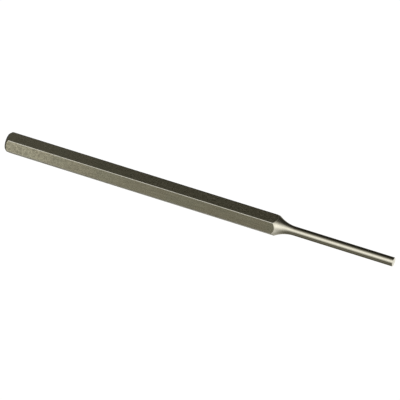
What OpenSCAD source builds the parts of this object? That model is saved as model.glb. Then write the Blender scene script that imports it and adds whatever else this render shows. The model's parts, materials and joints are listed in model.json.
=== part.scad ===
// Pin punch: one bar of hexagonal steel with a chamfered struck end, a concave turned neck and a slim round pin.
// It lies on one flat, with its axis along X and the pin towards +X. Lengths are in millimetres, angles in degrees.

/* [Bar] */
// Length from the struck face to the end of the pin
overall_length = 130; // [100:1:180]
// Width of the hexagonal bar across its flats
hex_af = 6.35; // [5:0.05:10]
// Height taken off each corner of the hexagon, measured towards the axis
corner_break = 0.03; // [0.01:0.01:0.3]

/* [Struck end] */
// Length of the turned chamfer, measured along the bar
end_chamfer_length = 1.1; // [0.4:0.05:2]
// Angle of the turned chamfer to the bar's axis
end_chamfer_angle = 40; // [15:1:45]

/* [Neck] */
// Radius of the concave curve that runs out into the pin
neck_radius = 10.5; // [5:0.5:20]

/* [Pin] */
// Diameter of the pin, a little under the pins that it drives
pin_d = 2.9; // [1.5:0.05:4.5]
// Length of the straight pin, from the end of the neck's curve to its tip
pin_length = 32.5; // [15:0.5:45]
// Width of the broken edge around the pin's end face
tip_break = 0.15; // [0.05:0.05:0.5]

/* [Hidden] */
// Number of flats on the bar, and half the angle between two of them
flat_count = 6;
half_flat_angle = 180 / flat_count;
// Radius of the bar over its sharp corners, and over its broken ones
sharp_corner_r = hex_af / 2 / cos(half_flat_angle);
corner_r = sharp_corner_r - corner_break;
// Radius of the flat struck face inside its chamfer
strike_r = corner_r - end_chamfer_length * tan(end_chamfer_angle);
pin_r = pin_d / 2;
// The neck's curve is tangent to the pin and climbs until it clears the broken corners
neck_rise = corner_r - pin_r;
neck_length = sqrt(neck_radius ^ 2 - (neck_radius - neck_rise) ^ 2);
shank_length = overall_length - end_chamfer_length - neck_length - pin_length;
// Places along X where one zone of the bar meets the next
strike_x = -overall_length / 2;
shank_x = strike_x + end_chamfer_length;
neck_x = shank_x + shank_length;
pin_x = neck_x + neck_length;
// Height of the bar's axis above the flat that it lies on
axis_z = hex_af / 2;
// How far the outline that the neck is turned from stands past the bar's corners
overrun = hex_af / 5;
// Round faces are drawn fine
round_fn = 96;

// Stands a shape drawn up +Z on the bar's axis, starting at x
module along_bar(x) {
    translate([x, 0, axis_z])
        rotate([0, 90, 0])
            children();
}

// The hexagonal blank, turned so that one flat faces down once it lies along the bar
module hex_blank(length) {
    rotate([0, 0, half_flat_angle])
        cylinder(h = length, r = sharp_corner_r, $fn = flat_count);
}

// The chamfered end that the hammer strikes: a cone that fades out on the flats as it clears the corners
module striking_end() {
    color([0.46, 0.44, 0.39])
        along_bar(strike_x)
            intersection() {
                hex_blank(end_chamfer_length);
                cylinder(h = end_chamfer_length, r1 = strike_r, r2 = corner_r, $fn = round_fn);
            }
}

// The bar as drawn: six flats between narrow broken corners
module hex_shank() {
    color([0.52, 0.5, 0.44])
        along_bar(shank_x)
            intersection() {
                hex_blank(shank_length);
                cylinder(h = shank_length, r = corner_r, $fn = round_fn);
            }
}

// The turned run-out: the curve cuts each flat away in a scallop and ends tangent to the pin
module neck() {
    color([0.66, 0.64, 0.58])
        along_bar(neck_x)
            intersection() {
                hex_blank(neck_length);
                rotate_extrude($fn = round_fn)
                    difference() {
                        square([sharp_corner_r + overrun, neck_length]);
                        translate([pin_r + neck_radius, neck_length])
                            circle(r = neck_radius, $fn = round_fn);
                    }
            }
}

// The straight pin with the broken edge around its end face
module pin() {
    straight_length = pin_length - tip_break;
    color([0.74, 0.72, 0.66])
        along_bar(pin_x)
            union() {
                cylinder(h = straight_length, r = pin_r, $fn = round_fn);
                translate([0, 0, straight_length])
                    cylinder(h = tip_break, r1 = pin_r, r2 = pin_r - tip_break, $fn = round_fn);
            }
}

striking_end();
hex_shank();
neck();
pin();
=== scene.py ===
# %% [markdown]
# # Dressing a pin punch
# A pin punch is one bar of hexagonal steel. One end is chamfered for the hammer, most of the length is
# left as drawn, and the other end is turned down through a concave neck to a slim round pin that drives
# other pins out of their holes. The solids arrive as a fixed frame, and this lesson makes the surfaces
# that are seen: soft edges, grain along the drawn flats, rings on the turned steel, and the light that
# shows them.

# %% Load the frame
import json
import math

import bmesh
import bpy
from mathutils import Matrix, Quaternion, Vector


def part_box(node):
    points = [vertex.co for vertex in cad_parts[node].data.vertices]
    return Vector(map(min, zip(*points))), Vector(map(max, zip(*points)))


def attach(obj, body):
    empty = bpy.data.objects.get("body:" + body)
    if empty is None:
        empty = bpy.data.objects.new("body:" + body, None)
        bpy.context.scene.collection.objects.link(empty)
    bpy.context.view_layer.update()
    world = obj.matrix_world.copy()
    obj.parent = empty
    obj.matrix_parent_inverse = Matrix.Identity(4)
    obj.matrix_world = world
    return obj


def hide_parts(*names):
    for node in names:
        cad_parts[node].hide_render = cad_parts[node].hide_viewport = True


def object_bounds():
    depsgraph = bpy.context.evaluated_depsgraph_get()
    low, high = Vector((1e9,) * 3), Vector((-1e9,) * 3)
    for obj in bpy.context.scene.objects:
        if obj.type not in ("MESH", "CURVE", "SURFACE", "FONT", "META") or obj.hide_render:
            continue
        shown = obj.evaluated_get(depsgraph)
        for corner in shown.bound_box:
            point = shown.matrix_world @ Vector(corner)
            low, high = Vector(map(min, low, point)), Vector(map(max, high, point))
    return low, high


MM = 0.001

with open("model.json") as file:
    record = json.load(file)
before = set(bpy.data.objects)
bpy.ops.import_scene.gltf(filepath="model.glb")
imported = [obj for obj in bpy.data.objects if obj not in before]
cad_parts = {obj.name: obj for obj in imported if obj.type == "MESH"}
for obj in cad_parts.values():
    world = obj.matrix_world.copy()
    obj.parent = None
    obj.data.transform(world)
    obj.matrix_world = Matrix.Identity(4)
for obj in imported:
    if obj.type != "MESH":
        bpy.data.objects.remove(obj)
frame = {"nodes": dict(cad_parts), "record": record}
cad_low, cad_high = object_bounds()
print("frame nodes:", sorted(frame["nodes"]))

# %% [markdown]
# ## Read the bar's sizes from the frame
# Every size that the solids already hold is measured from their boxes, so nothing here can drift away
# from them. The bar lies on one flat with its axis along X, so its height is the width across flats and
# its depth is the width across corners. The pin's radius is in the record, because a round solid's box
# can fall a little short, and so is the length of its straight part, which leaves the broken edge
# around its end. The neck's curve is tangent to the pin, and its length and rise give its radius. Only
# the chamfer's angle isn't in the frame.

# %% Sizes of the bar
CHAMFER_ANGLE = math.radians(40)

strike_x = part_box("striking_end")[0].x
shank_low, shank_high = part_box("hex_shank")
pin_low, pin_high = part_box("pin")
pin_mount = next(m for m in frame["record"]["mounts"] if m["name"] == "pin")

shank_x = shank_low.x
neck_x = shank_high.x
pin_x = pin_low.x
tip_x = pin_high.x

axis_z = (shank_low.z + shank_high.z) / 2
flat_r = (shank_high.z - shank_low.z) / 2
corner_r = (shank_high.y - shank_low.y) / 2
pin_r = pin_mount["dims"]["r_mm"] * MM
tip_break = tip_x - pin_x - pin_mount["dims"]["length_mm"] * MM
struck_face_r = corner_r - (shank_x - strike_x) * math.tan(CHAMFER_ANGLE)

neck_rise = corner_r - pin_r
neck_length = pin_x - neck_x
neck_radius = (neck_length**2 + neck_rise**2) / (2 * neck_rise)
print("across flats %.2f mm, pin %.2f mm" % (2 * flat_r / MM, 2 * pin_r / MM))
print("neck radius %.2f mm, struck face %.2f mm" % (neck_radius / MM, 2 * struck_face_r / MM))

# %% [markdown]
# ## The camera
# The photograph is taken with a long lens from the right and well above, and it is turned a little, so
# the bar runs down to the right. The lens is worked out from the scale wanted at the bar's middle, in
# pixels of the 400 pixel square, and a very small shift puts the middle of the bar on its pixel.

# %% Aim the camera
PHOTO_SIDE = 400
PIXELS_PER_MM = 3.245
MIDDLE_PIXEL = (197.66, 200.72)
CAMERA_AZIMUTH = 28.06
CAMERA_ELEVATION = 52.09
CAMERA_ROLL = math.radians(5.44)
CAMERA_DISTANCE = 1051 * MM


def towards(azimuth, elevation):
    """A direction in degrees: azimuth 0 is in front of the bar, at -Y, and 90 is past its tip, at +X."""
    turn, lift = math.radians(azimuth), math.radians(elevation)
    return Vector((math.sin(turn) * math.cos(lift), -math.cos(turn) * math.cos(lift), math.sin(lift)))


bar_middle = Vector(((strike_x + tip_x) / 2, 0, axis_z))
camera_back = towards(CAMERA_AZIMUTH, CAMERA_ELEVATION)

camera_data = bpy.data.cameras.new("camera")
camera = bpy.data.objects.new("camera", camera_data)
bpy.context.scene.collection.objects.link(camera)
bpy.context.scene.camera = camera
focal_pixels = PIXELS_PER_MM * CAMERA_DISTANCE / MM
camera_data.lens = focal_pixels / PHOTO_SIDE * camera_data.sensor_width
camera_data.shift_x = (PHOTO_SIDE / 2 - MIDDLE_PIXEL[0]) / PHOTO_SIDE
camera_data.shift_y = (MIDDLE_PIXEL[1] - PHOTO_SIDE / 2) / PHOTO_SIDE
camera.location = bar_middle + camera_back * CAMERA_DISTANCE
camera.rotation_mode = "QUATERNION"
camera.rotation_quaternion = (-camera_back).to_track_quat("-Z", "Y") @ Quaternion((0, 0, 1), -CAMERA_ROLL)
print("lens %.0f mm" % camera_data.lens)

# %% [markdown]
# ## Node helpers
# The studio and the finishes are both networks of nodes. Four small helpers keep them readable: one
# feeds a socket with a link or a plain number, one adds a Math node, one maps a range of values
# smoothly to another, and one mixes two colours.

# %% Feed, calculate, map and mix


def feed(tree, socket, value):
    """Links value in if it is a socket, and otherwise sets it as the socket's own value."""
    if isinstance(value, bpy.types.NodeSocket):
        tree.links.new(value, socket)
    else:
        socket.default_value = value


def calc(tree, operation, first, second=0.0):
    """A Math node, with sockets or plain numbers going in."""
    node = tree.nodes.new("ShaderNodeMath")
    node.operation = operation
    feed(tree, node.inputs[0], first)
    feed(tree, node.inputs[1], second)
    return node.outputs["Value"]


def spread(tree, value, from_low, from_high, to_low=0.0, to_high=1.0):
    """Maps a value from one range to another, eased at both ends and held beyond them."""
    node = tree.nodes.new("ShaderNodeMapRange")
    node.interpolation_type = "SMOOTHSTEP"
    feed(tree, node.inputs["Value"], value)
    feed(tree, node.inputs["From Min"], from_low)
    feed(tree, node.inputs["From Max"], from_high)
    feed(tree, node.inputs["To Min"], to_low)
    feed(tree, node.inputs["To Max"], to_high)
    return node.outputs["Result"]


def tint(tree, share, first, second, blend="MIX"):
    """Mixes two colours, each a socket or plain red, green and blue."""
    node = tree.nodes.new("ShaderNodeMix")
    node.data_type = "RGBA"
    node.blend_type = blend
    feed(tree, node.inputs["Factor"], share)
    feed(tree, node.inputs["A"], first if isinstance(first, bpy.types.NodeSocket) else (*first, 1))
    feed(tree, node.inputs["B"], second if isinstance(second, bpy.types.NodeSocket) else (*second, 1))
    return node.outputs["Result"]


# %% [markdown]
# ## Studio light
# Bare steel shows what surrounds it more than its own colour, so the light is planned as things to be
# mirrored. Lamps could stand in the scene as objects, but then each needs a shape and a distance.
# Painting the surroundings by direction is simpler: each light is a glow with a direction, a tightness
# and a brightness. A wide box overhead draws the bright band along the pin, boxes past the tip light
# the concave neck, and pale sheets below light its underside and the end of the pin. The rest of the
# room is dim and warm, and that is what the flat on top mirrors. The five lamps stand where the main
# view mirrors almost nothing, so that the other sides of the bar aren't black.

# %% Surroundings, painted by direction
PALE = 1.05
ROOM_GLOW = 0.016
ROOM_WARM = (1.0, 0.955, 0.76)
LAMP_WHITE = (1.0, 1.0, 1.0)
LAMP_LEVEL = 0.5

# azimuth, elevation, tightness and brightness of each light
STUDIO_LIGHTS = {
    "wide box overhead": (0, 59, 5, 0.75),
    "middle of that box": (0, 59, 12, 0.48),
    "tall box past the tip": (60, 30, 10, 1.2),
    "low box past the tip": (50, -25, 12, 0.8),
    "fill in front of the neck": (29, 11, 14, 0.48),
    "fill above the neck": (98, 73, 30, 0.27),
    "sheet under the neck": (80, -62, 9, 0.5),
    "sheet under the tip": (175, -58, 10, 1.0),
    "fill behind the tip": (120, -25, 10, 0.7),
    "upper fill for the pin": (-30, 30, 12, 0.29),
    "lower fill for the pin": (-22, -28, 15, 0.16),
    "lamp for the flats behind": (-128, 26, 90, 0.6),
    "lamp for the end views": (-88, 6, 60, 0.3),
    "lamp for the struck face": (-47, -14, 60, 0.35),
    "lamp behind the neck": (124, 12, 35, 0.4),
    "lamp for views past the tip": (-88, 38, 45, 0.45),
}

scene = bpy.context.scene
scene.view_settings.view_transform = "Standard"
world = bpy.data.worlds.new("studio")
scene.world = world
world.use_nodes = True
room = world.node_tree
room.nodes.clear()
gaze = room.nodes.new("ShaderNodeTexCoord").outputs["Generated"]


def soft_light(name, azimuth, elevation, tightness, brightness):
    """A glow in the surroundings, brightest in one direction and fading faster the tighter it is."""
    facing = room.nodes.new("ShaderNodeVectorMath")
    facing.label = name
    facing.operation = "DOT_PRODUCT"
    facing.inputs[1].default_value = towards(azimuth, elevation)
    room.links.new(gaze, facing.inputs[0])
    ahead = calc(room, "MAXIMUM", facing.outputs["Value"])
    return calc(room, "MULTIPLY", calc(room, "POWER", ahead, tightness), brightness)


glow = ROOM_GLOW
for name, light in STUDIO_LIGHTS.items():
    glow = calc(room, "ADD", soft_light(name, *light), glow)
warmth = tint(room, spread(room, glow, 0.0, LAMP_LEVEL), ROOM_WARM, LAMP_WHITE)
lit_room = tint(room, 1.0, warmth, glow, "MULTIPLY")
seen_by_camera = room.nodes.new("ShaderNodeLightPath").outputs["Is Camera Ray"]
surroundings = room.nodes.new("ShaderNodeBackground")
room.links.new(tint(room, seen_by_camera, lit_room, (PALE, PALE, PALE)), surroundings.inputs["Color"])
world_out = room.nodes.new("ShaderNodeOutputWorld")
room.links.new(surroundings.outputs["Background"], world_out.inputs["Surface"])
print(len(STUDIO_LIGHTS), "soft lights")

# %% [markdown]
# ## Two cards near the struck end
# A painted light is endlessly far away, so a flat mirrors it alike from end to end. In the photograph
# both flats are brightest at the struck end and fade towards the neck, as they do when something pale
# stands close to that end. A card in front and a dim one behind give that fall of light. The power of an
# area light is shared out over its face, so it is worked out from the brightness wanted. The camera
# doesn't see the cards.

# %% Cards
CARD_AIM = Vector((-50 * MM, 0, axis_z))

# place, side and brightness of each card
STUDIO_CARDS = {
    "near_card": (Vector((-160 * MM, -180 * MM, 30 * MM)), 100 * MM, 0.49),
    "back_card": (Vector((-110 * MM, 65 * MM, 100 * MM)), 70 * MM, 0.039),
}

for name, (spot, side, brightness) in STUDIO_CARDS.items():
    data = bpy.data.lights.new(name, "AREA")
    data.shape = "SQUARE"
    data.size = side
    data.energy = brightness * math.pi * side**2
    card = bpy.data.objects.new(name, data)
    scene.collection.objects.link(card)
    card.location = spot
    card.rotation_mode = "QUATERNION"
    card.rotation_quaternion = (CARD_AIM - spot).to_track_quat("-Z", "Y")
    card.visible_camera = False
    print(name, "at %.0f mm from its aim" % ((CARD_AIM - spot).length / MM))

# %% [markdown]
# ## The floor
# The floor is a pale sheet for the camera alone, so it neither shades the bar nor shows in it, and it
# is as bright as the surroundings, so there is no horizon. Seen from below it is clear, and it lies a
# hair under the bar, so the flat that the bar rests on can be looked at as well.

# %% Floor
FLOOR_HALF = 1500 * MM
FLOOR_GAP = 0.02 * MM

floor_paper = bpy.data.materials.new("floor_paper")
floor_paper.use_nodes = True
paper = floor_paper.node_tree
paper.nodes.clear()
pale_side = paper.nodes.new("ShaderNodeEmission")
pale_side.inputs["Color"].default_value = (PALE, PALE, PALE, 1)
clear_side = paper.nodes.new("ShaderNodeBsdfTransparent")
sheet = paper.nodes.new("ShaderNodeMixShader")
paper.links.new(paper.nodes.new("ShaderNodeNewGeometry").outputs["Backfacing"], sheet.inputs["Fac"])
paper.links.new(pale_side.outputs["Emission"], sheet.inputs[1])
paper.links.new(clear_side.outputs["BSDF"], sheet.inputs[2])
paper_out = paper.nodes.new("ShaderNodeOutputMaterial")
paper.links.new(sheet.outputs["Shader"], paper_out.inputs["Surface"])

floor_mesh = bpy.data.meshes.new("floor")
bm = bmesh.new()
bmesh.ops.create_grid(bm, x_segments=1, y_segments=1, size=FLOOR_HALF)
bmesh.ops.translate(bm, verts=bm.verts, vec=(0, 0, cad_low.z - FLOOR_GAP))
bm.to_mesh(floor_mesh)
bm.free()
floor_mesh.materials.append(floor_paper)
floor = bpy.data.objects.new("floor", floor_mesh)
scene.collection.objects.link(floor)
floor.visible_diffuse = False
floor.visible_glossy = False
floor.visible_shadow = False
print("floor %.0f mm across" % (2 * FLOOR_HALF / MM))

# %% [markdown]
# ## Where a point lies on the bar
# Every finish on this bar follows the axis: grain runs along it, turning rings go around it and rubbed
# corners are the points farthest from it. One node group works out the two measures that all finishes
# share. Radius is the distance from the axis. Ring is the distance from the bar's middle less the
# radius, which changes steadily along the chamfer, the neck and the pin and across the end faces, so
# rings drawn from it follow every profile.

# %% Group: bar measures


def new_group(name, inputs, outputs):
    """A shader node group with plain number sockets, and the nodes that stand for its two sides."""
    group = bpy.data.node_groups.new(name, "ShaderNodeTree")
    for label in inputs:
        group.interface.new_socket(name=label, in_out="INPUT", socket_type="NodeSocketFloat")
    for label in outputs:
        group.interface.new_socket(name=label, in_out="OUTPUT", socket_type="NodeSocketFloat")
    return group, group.nodes.new("NodeGroupInput").outputs, group.nodes.new("NodeGroupOutput").inputs


def place(tree, group, **values):
    """Puts a group into a tree with its own values and returns its outputs."""
    node = tree.nodes.new("ShaderNodeGroup")
    node.node_tree = group
    for label, value in values.items():
        feed(tree, node.inputs[label], value)
    return node.outputs


bar_measures, _, measured = new_group("bar_measures", [], ["Radius", "Ring"])
on_bar = bar_measures.nodes.new("ShaderNodeTexCoord").outputs["Object"]
point = bar_measures.nodes.new("ShaderNodeSeparateXYZ")
bar_measures.links.new(on_bar, point.inputs["Vector"])
above_axis = calc(bar_measures, "SUBTRACT", point.outputs["Z"], axis_z)
across = calc(bar_measures, "MULTIPLY", point.outputs["Y"], point.outputs["Y"])
upward = calc(bar_measures, "MULTIPLY", above_axis, above_axis)
radius = calc(bar_measures, "SQRT", calc(bar_measures, "ADD", across, upward))
from_middle = calc(bar_measures, "ABSOLUTE", point.outputs["X"])
feed(bar_measures, measured["Radius"], radius)
feed(bar_measures, measured["Ring"], calc(bar_measures, "SUBTRACT", from_middle, radius))
print("group", bar_measures.name)

# %% [markdown]
# ## Grain of the drawn bar
# The drawing die leaves fine streaks along the bar. The skin between them is matt and cloudy and has
# small pits, so from arm's length the flats look finely speckled. Broad patches lean towards olive or
# brown where the skin is thicker. All four are noise on the object's own coordinates, squeezed along X
# for the streaks and cut off high for the pits. An image could hold them too, but noise has no seams at
# the corners and no limit of size.

# %% Group: drawn grain
STREAK_WIDTH = 0.12 * MM
STREAK_STRETCH = 40
PIT = 0.14 * MM
PIT_FROM = 0.57
PIT_FULL = 0.68
CLOUD = 0.7 * MM
PATCH = 7 * MM
NOISE_LOW = 0.3
NOISE_HIGH = 0.7


def noise(tree, vector, grain, detail):
    """Noise with features about as large as grain."""
    node = tree.nodes.new("ShaderNodeTexNoise")
    node.inputs["Scale"].default_value = 1 / grain
    node.inputs["Detail"].default_value = detail
    tree.links.new(vector, node.inputs["Vector"])
    return node.outputs[0]


def along_bar(tree, stretch, turn=0.0):
    """Object coordinates squeezed along a line at an angle to the bar, so that noise runs along it."""
    mapping = tree.nodes.new("ShaderNodeMapping")
    mapping.vector_type = "TEXTURE"
    mapping.inputs["Rotation"].default_value = (0, turn, turn)
    mapping.inputs["Scale"].default_value = (stretch, 1, 1)
    tree.links.new(tree.nodes.new("ShaderNodeTexCoord").outputs["Object"], mapping.inputs["Vector"])
    return mapping.outputs["Vector"]


def graded(tree, value, to_low=0.0, to_high=1.0):
    """Maps noise, which seldom leaves its middle range, to a range of its own."""
    return spread(tree, value, NOISE_LOW, NOISE_HIGH, to_low, to_high)


drawn_grain, _, grain_out = new_group("drawn_grain", [], ["Streak", "Pit", "Cloud", "Patch"])
stretched = along_bar(drawn_grain, STREAK_STRETCH)
even = along_bar(drawn_grain, 1)
streak = noise(drawn_grain, stretched, STREAK_WIDTH, detail=2)
pit = noise(drawn_grain, even, PIT, detail=1)
cloud = noise(drawn_grain, even, CLOUD, detail=4)
patch = noise(drawn_grain, even, PATCH, detail=1)
feed(drawn_grain, grain_out["Streak"], streak)
feed(drawn_grain, grain_out["Pit"], spread(drawn_grain, pit, PIT_FROM, PIT_FULL))
feed(drawn_grain, grain_out["Cloud"], cloud)
feed(drawn_grain, grain_out["Patch"], graded(drawn_grain, patch))
print("group", drawn_grain.name)

# %% [markdown]
# ## Turning rings
# A lathe tool leaves one fine groove per turn of the bar. The pitch is an input, so the neck can have
# the wider grooves of the tool and the pin the closer ones of the polishing cloth. Noise in one
# dimension along the Ring measure gives grooves of uneven depth, which reads as cut metal where an even
# wave would read as a screw.

# %% Group: turning rings
BAND_PITCHES = 9

turning_rings, ring_in, ring_out = new_group("turning_rings", ["Pitch"], ["Groove", "Band"])


def rings(tree, pitch):
    """Uneven rings around the axis, one for each pitch."""
    node = tree.nodes.new("ShaderNodeTexNoise")
    node.noise_dimensions = "1D"
    node.inputs["Scale"].default_value = 1
    node.inputs["Detail"].default_value = 2
    tree.links.new(calc(tree, "DIVIDE", place(tree, bar_measures)["Ring"], pitch), node.inputs["W"])
    return node.outputs[0]


feed(turning_rings, ring_out["Groove"], rings(turning_rings, ring_in["Pitch"]))
wide_pitch = calc(turning_rings, "MULTIPLY", ring_in["Pitch"], BAND_PITCHES)
feed(turning_rings, ring_out["Band"], rings(turning_rings, wide_pitch))
print("group", turning_rings.name)

# %% [markdown]
# ## Rubbed corners
# The corners of the hexagon are what a hand, a drawer and a vice touch, so they are rubbed brighter and
# smoother than the flats between them. The mask starts a little inside the corner's radius, and noise
# along the bar makes it come and go, because no edge wears evenly.

# %% Group: corner rub
RUB_DEPTH = 0.12 * MM
RUB_LENGTH = 1.2 * MM
RUB_FROM = 0.25
RUB_FULL = 0.5
LEAST_RUB = 0.5

corner_rub, _, rub_out = new_group("corner_rub", [], ["Rub"])
on_corner = spread(corner_rub, place(corner_rub, bar_measures)["Radius"], corner_r - RUB_DEPTH, corner_r)
wear = noise(corner_rub, along_bar(corner_rub, 1), RUB_LENGTH, detail=1)
come_and_go = spread(corner_rub, wear, RUB_FROM, RUB_FULL, LEAST_RUB, 1.0)
feed(corner_rub, rub_out["Rub"], calc(corner_rub, "MULTIPLY", on_corner, come_and_go))
print("group", corner_rub.name)

# %% [markdown]
# ## Handling marks
# Even a new punch picks up hairline scratches in the box. They are long thin noise, cut off so high
# that only a few lines are left, at two slants so that they cross the grain. The result is a mask for
# every finish.

# %% Group: handling marks
HAIRLINE = 0.05 * MM
HAIRLINE_STRETCH = 60
HAIRLINE_FROM = 0.79
HAIRLINE_FULL = 0.85
SLANTS = (math.radians(24), math.radians(-52))

handling_marks, _, mark_out = new_group("handling_marks", [], ["Scratch"])
scratch = 0.0
for slant in SLANTS:
    slanted = along_bar(handling_marks, HAIRLINE_STRETCH, slant)
    hair = noise(handling_marks, slanted, HAIRLINE, detail=0)
    line = spread(handling_marks, hair, HAIRLINE_FROM, HAIRLINE_FULL)
    scratch = calc(handling_marks, "MAXIMUM", line, scratch)
feed(handling_marks, mark_out["Scratch"], scratch)
print("group", handling_marks.name)

# %% [markdown]
# ## Three finishes
# The flats keep the skin of the drawing die: dull, warm, with grain along the bar. The chamfer and the
# neck are turned, so rings run around the axis and the steel is brighter. The pin is turned and then
# polished, so its rings are finer and it mirrors more sharply. Each material mixes the groups above
# with its own values, and every value that is the same all over the surface is set straight on the
# shader.

# %% A metal and its relief


def new_steel(name):
    """A metal material, its tree and its shader."""
    material = bpy.data.materials.new(name)
    material.use_nodes = True
    shader = material.node_tree.nodes["Principled BSDF"]
    shader.inputs["Metallic"].default_value = 1.0
    return material, material.node_tree, shader


def raise_surface(tree, shader, height, depth):
    """Bump of the given depth in metres, from a height of 0 to 1."""
    bump = tree.nodes.new("ShaderNodeBump")
    bump.inputs["Strength"].default_value = 1.0
    bump.inputs["Distance"].default_value = depth
    tree.links.new(height, bump.inputs["Height"])
    tree.links.new(bump.outputs["Normal"], shader.inputs["Normal"])


# %% [markdown]
# ## Drawn steel
# Bar that has come through a drawing die isn't polished afterwards. Its skin is dull and warm, darker
# and rougher in the pits, and bright where it is rubbed off. One colour with one roughness would read
# as grey plastic, so colour, roughness and relief all follow the same grain, and worn places lose the
# skin and show the steel under it.

# %% Drawn steel
OLIVE_STEEL = (0.65, 0.628, 0.468)
BROWN_STEEL = (0.67, 0.625, 0.465)
RUBBED_STEEL = (0.97, 0.94, 0.82)
STREAK_SHADES = (0.88, 1.12)
CLOUD_SHADES = (0.82, 1.18)
PIT_SHADES = (1.05, 0.62)
CLOUD_ROUGHNESS = (0.385, 0.25)
PIT_ROUGHNESS = 0.12
WORN_SHINE = 0.12
SCRATCH_WEAR = 0.4
SCRATCH_HEIGHT = 0.3
STREAK_HEIGHT = 0.5
GRAIN_DEPTH = 0.006 * MM

drawn_steel, tree, shader = new_steel("drawn_flats")
grain = place(tree, drawn_grain)
rub = place(tree, corner_rub)["Rub"]
marks = place(tree, handling_marks)["Scratch"]
worn = calc(tree, "MAXIMUM", rub, calc(tree, "MULTIPLY", marks, SCRATCH_WEAR))

skin = tint(tree, grain["Patch"], OLIVE_STEEL, BROWN_STEEL)
streaks = graded(tree, grain["Streak"], *STREAK_SHADES)
clouds = graded(tree, grain["Cloud"], *CLOUD_SHADES)
pits = spread(tree, grain["Pit"], 0.0, 1.0, *PIT_SHADES)
shade = calc(tree, "MULTIPLY", calc(tree, "MULTIPLY", streaks, clouds), pits)
shaded_skin = tint(tree, 1.0, skin, shade, "MULTIPLY")
feed(tree, shader.inputs["Base Color"], tint(tree, worn, shaded_skin, RUBBED_STEEL))

cloudy = graded(tree, grain["Cloud"], *CLOUD_ROUGHNESS)
pitted = calc(tree, "ADD", cloudy, calc(tree, "MULTIPLY", grain["Pit"], PIT_ROUGHNESS))
rough = calc(tree, "SUBTRACT", pitted, calc(tree, "MULTIPLY", worn, WORN_SHINE))
feed(tree, shader.inputs["Roughness"], rough)

hollow = calc(tree, "ADD", grain["Pit"], calc(tree, "MULTIPLY", marks, SCRATCH_HEIGHT))
relief = calc(tree, "SUBTRACT", calc(tree, "MULTIPLY", grain["Streak"], STREAK_HEIGHT), hollow)
raise_surface(tree, shader, relief, GRAIN_DEPTH)
print("made", drawn_steel.name)

# %% [markdown]
# ## Turned and polished steel
# Both are the same steel with rings around the axis, so one function makes them, and only the colours,
# the pitch, the depth and the roughness differ. An anisotropic shader could stretch the highlights as
# fine rings do, but it has nothing to show close up. Rings in the colour, the roughness and the bump do
# both.

# %% Turned and polished steel
SCRATCH_ROUGHNESS = 0.06


def ringed_steel(name, colours, pitch, groove_depth, roughness):
    """Steel with rings around the axis, between two colours and two roughnesses."""
    material, tree, shader = new_steel(name)
    ring = place(tree, turning_rings, Pitch=pitch)
    marks = place(tree, handling_marks)["Scratch"]
    cut = calc(tree, "DIVIDE", calc(tree, "ADD", ring["Groove"], ring["Band"]), 2)
    feed(tree, shader.inputs["Base Color"], tint(tree, graded(tree, cut), *colours))
    scratched = calc(tree, "MULTIPLY", marks, SCRATCH_ROUGHNESS)
    feed(tree, shader.inputs["Roughness"], calc(tree, "ADD", graded(tree, cut, *roughness), scratched))
    relief = calc(tree, "SUBTRACT", ring["Groove"], calc(tree, "MULTIPLY", marks, SCRATCH_HEIGHT))
    raise_surface(tree, shader, relief, groove_depth)
    print("made", material.name)
    return material


turned_steel = ringed_steel(
    "turned_rings",
    colours=((0.76, 0.725, 0.595), (0.84, 0.805, 0.665)),
    pitch=0.14 * MM,
    groove_depth=0.003 * MM,
    roughness=(0.32, 0.25),
)
polished_steel = ringed_steel(
    "polished_pin",
    colours=((0.79, 0.755, 0.625), (0.85, 0.815, 0.675)),
    pitch=0.07 * MM,
    groove_depth=0.001 * MM,
    roughness=(0.23, 0.17),
)

# %% [markdown]
# ## One surface for the whole bar
# The bar could be a hexagonal prism cut by a turned shape, but a boolean leaves knife edges where the
# flats meet the turned steel. Here each zone is spun as a plain turned shape first, and then every
# point is drawn in to the hexagon where the hexagon is the smaller of the two. A soft minimum rounds
# the edge between them, so the scalloped ends of the flats catch the light as real ones do.

# %% The hexagon and the turned outline
FLATS = 6
HALF_FLAT = math.pi / FLATS
EDGE_SOFTNESS = 0.05 * MM

# radius of the rounded corners that leaves the bar as wide as the frame says
corner_round = (flat_r / math.cos(HALF_FLAT) - corner_r) / (1 / math.cos(HALF_FLAT) - 1)
corner_centre = (flat_r - corner_round) / math.cos(HALF_FLAT)
flat_reach = math.atan((flat_r - corner_round) * math.tan(HALF_FLAT) / flat_r)


def hexagon_radius(turn):
    """How far the rounded hexagon lies from the axis in the direction turn, counted from +Y towards +Z."""
    off_flat = abs((turn - math.pi / 2 + HALF_FLAT) % (2 * HALF_FLAT) - HALF_FLAT)
    if off_flat < flat_reach:
        return flat_r / math.cos(off_flat)
    off_corner = HALF_FLAT - off_flat
    across = corner_centre * math.sin(off_corner)
    return corner_centre * math.cos(off_corner) + math.sqrt(corner_round**2 - across**2)


def turned_radius(x):
    """How far the turned outline lies from the axis at x: chamfer, clear of the hexagon, then neck."""
    cone = struck_face_r + (x - strike_x) * math.tan(CHAMFER_ANGLE)
    to_pin = min(max(pin_x - x, 0), neck_radius)
    curve = pin_r + neck_radius - math.sqrt(neck_radius**2 - to_pin**2)
    return min(cone, curve, corner_r + EDGE_SOFTNESS)


def soft_min(a, b, softness):
    """The smaller of two lengths, eased where they are within softness of each other."""
    near = max(softness - abs(a - b), 0) / softness
    return min(a, b) - near * near * softness / 4


print("corner radius %.2f mm" % (corner_round / MM))

# %% [markdown]
# ## Spin a profile
# The spin operator turns an open line of points around the axis and makes the faces. It slows down as
# the mesh grows, and the bar is the same on all six sides, so one sixth is spun and five copies of it
# are turned into place. Doubles are merged where the copies meet and on the axis. Spin leaves edges and
# faces in another order each time, so they are sorted by their points, and every run gives the same
# mesh.

# %% Spin a profile about the axis
SIXTH_STEPS = 80
MERGE = 0.0001 * MM


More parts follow.
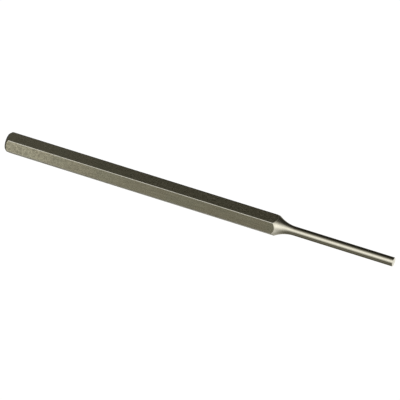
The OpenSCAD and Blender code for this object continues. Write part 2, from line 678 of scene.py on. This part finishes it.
def settle_order(bm):
    """Sorts edges and faces by the numbers of their first and last points."""
    bm.verts.index_update()
    count = len(bm.verts)

    def rank(element):
        numbers = [v.index for v in element.verts]
        return min(numbers) * count + max(numbers)

    bm.edges.sort(key=rank)
    bm.faces.sort(key=rank)


def spin_about_axis(bm, profile):
    """Spins a line of (x, radius) points about the axis, as one sixth and five copies of it."""
    points = [bm.verts.new((x, 0, axis_z + r)) for x, r in profile]
    line = [bm.edges.new(pair) for pair in zip(points, points[1:])]
    about_axis = {"cent": (0, 0, axis_z), "axis": (1, 0, 0)}
    sixth = math.tau / FLATS
    others = math.tau - sixth
    bmesh.ops.spin(bm, geom=points + line, angle=sixth, steps=SIXTH_STEPS, **about_axis)
    settle_order(bm)
    made = bm.verts[:] + bm.edges[:] + bm.faces[:]
    bmesh.ops.spin(bm, geom=made, angle=others, steps=FLATS - 1, use_duplicate=True, **about_axis)
    bmesh.ops.remove_doubles(bm, verts=bm.verts, dist=MERGE)


# %% [markdown]
# ## Draw it in and close it
# A point that lies outside the hexagon is drawn straight in towards the axis. Ends where one zone meets
# the next are still open then. They are filled, so that every zone is a closed shape, and their rims
# are kept crisp, because smooth shading would bend the light there and show the joint.

# %% Draw in to the hexagon and close the ends


def draw_in(bm):
    """Draws each point in to the hexagon where the hexagon is the smaller."""
    for v in bm.verts:
        up = v.co.z - axis_z
        radius = math.hypot(v.co.y, up)
        if radius > MERGE:
            share = soft_min(hexagon_radius(math.atan2(up, v.co.y)), radius, EDGE_SOFTNESS) / radius
            v.co.y *= share
            v.co.z = axis_z + up * share


def close_ends(bm):
    """Fills open ends with flat caps, and shades everything else smooth."""
    open_edges = [e for e in bm.edges if e.is_boundary]
    caps = bmesh.ops.holes_fill(bm, edges=open_edges, sides=0)["faces"] if open_edges else []
    bmesh.ops.recalc_face_normals(bm, faces=bm.faces)
    for face in bm.faces:
        face.smooth = face not in caps
    for edge in open_edges:
        edge.smooth = False


# %% [markdown]
# ## A zone of the bar
# Each zone goes through the same steps. Faces on the hexagon take its first finish, which is the drawn
# one where a zone has both, and faces on the turned outline take its last.

# %% Make a zone


def spun_zone(name, profile, finishes):
    """One zone of the bar, as a closed piece made from (x, radius) points."""
    bm = bmesh.new()
    spin_about_axis(bm, profile)
    draw_in(bm)
    close_ends(bm)
    for face in bm.faces:
        centre = face.calc_center_median()
        turn = math.atan2(centre.z - axis_z, centre.y)
        on_flat = hexagon_radius(turn) < turned_radius(centre.x)
        face.material_index = 0 if on_flat else len(finishes) - 1
    mesh = bpy.data.meshes.new(name)
    bm.to_mesh(mesh)
    bm.free()
    for finish in finishes:
        mesh.materials.append(finish)
    piece = bpy.data.objects.new(name, mesh)
    scene.collection.objects.link(piece)
    print(name, len(mesh.polygons), "faces")
    return piece


# %% [markdown]
# ## The struck end
# The hammer meets a flat face inside a turned chamfer, and the edge between them is broken, as a sharp
# one would chip. The broken edge is a short curve between the face and the cone. A ring just inside it
# keeps the face flat where smooth shading would round it.

# %% Struck end
EDGE_BREAK = 0.1 * MM
FACE_RING = 0.2 * MM
EDGE_ROWS = 6
CHAMFER_ROWS = 24


def steps(start, stop, count):
    """Evenly spaced values from start to stop, both included."""
    return [start + (stop - start) * i / count for i in range(count + 1)]


edge = Vector((strike_x, struck_face_r))
edge_start = edge - Vector((0, EDGE_BREAK))
edge_end = edge + EDGE_BREAK * Vector((math.cos(CHAMFER_ANGLE), math.sin(CHAMFER_ANGLE)))


def broken_edge(t):
    """A point on the curve that leaves the face at t = 0 and runs into the cone at t = 1."""
    return edge_start.lerp(edge, t).lerp(edge.lerp(edge_end, t), t)


struck_profile = [(strike_x, r) for r in (0, struck_face_r / 2, struck_face_r - FACE_RING)]
struck_profile += [tuple(broken_edge(t)) for t in steps(0, 1, EDGE_ROWS)]
struck_profile += [(x, turned_radius(x)) for x in steps(edge_end.x, shank_x, CHAMFER_ROWS)[1:]]
struck_end = spun_zone("struck_end", struck_profile, [drawn_steel, turned_steel])

# %% [markdown]
# ## Shank and neck
# The shank is the bar as drawn, so it needs rows of points only at its ends, where the chamfer and the
# neck begin to round its corners. The neck's rows are evenly spaced by angle along its arc, close
# enough for the scalloped ends of the flats to come out as smooth curves.

# %% Shank and neck
SHANK_END = 0.12 * MM
SHANK_END_ROWS = 6
NECK_ROWS = 110

shank_xs = steps(shank_x, shank_x + SHANK_END, SHANK_END_ROWS)
shank_xs += steps(neck_x - SHANK_END, neck_x, SHANK_END_ROWS)
shank = spun_zone("hexagonal_shank", [(x, turned_radius(x)) for x in shank_xs], [drawn_steel])

neck_angles = steps(math.asin(neck_length / neck_radius), 0, NECK_ROWS)
neck_xs = [pin_x - neck_radius * math.sin(angle) for angle in neck_angles]
neck = spun_zone("turned_neck", [(x, turned_radius(x)) for x in neck_xs], [drawn_steel, turned_steel])

# %% [markdown]
# ## The pin
# The pin is a plain cylinder with a flat end. Its edge is rounded by a quarter circle as wide as the
# broken edge of the solid. A ring on each side of it keeps the side straight and the end face flat.

# %% Pin
TIP_ROWS = 8
# distance of the two rings from the rim, in widths of the broken edge
SIDE_RING_SHARE = 2
END_RING_SHARE = 1.5

pin_profile = [(pin_x, pin_r), (tip_x - SIDE_RING_SHARE * tip_break, pin_r)]
for angle in steps(0, math.pi / 2, TIP_ROWS):
    x = tip_x - tip_break * (1 - math.sin(angle))
    pin_profile.append((x, pin_r - tip_break * (1 - math.cos(angle))))
pin_profile += [(tip_x, r) for r in (pin_r - END_RING_SHARE * tip_break, pin_r / 2, 0)]
driving_pin = spun_zone("driving_pin", pin_profile, [polished_steel])

# %% [markdown]
# ## Seat the pieces in the frame
# The punch is one rigid bar, so all four pieces ride on the one body. Each stands for the solid of its
# own zone, and that solid is hidden.

# %% Seat the pieces in the frame
for piece, node, finish in (
    (struck_end, "striking_end", "turned_steel"),
    (shank, "hex_shank", "drawn_steel"),
    (neck, "neck", "turned_steel"),
    (driving_pin, "pin", "polished_steel"),
):
    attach(piece, "root")
    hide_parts(node)
    print(piece.name, "stands for", node)
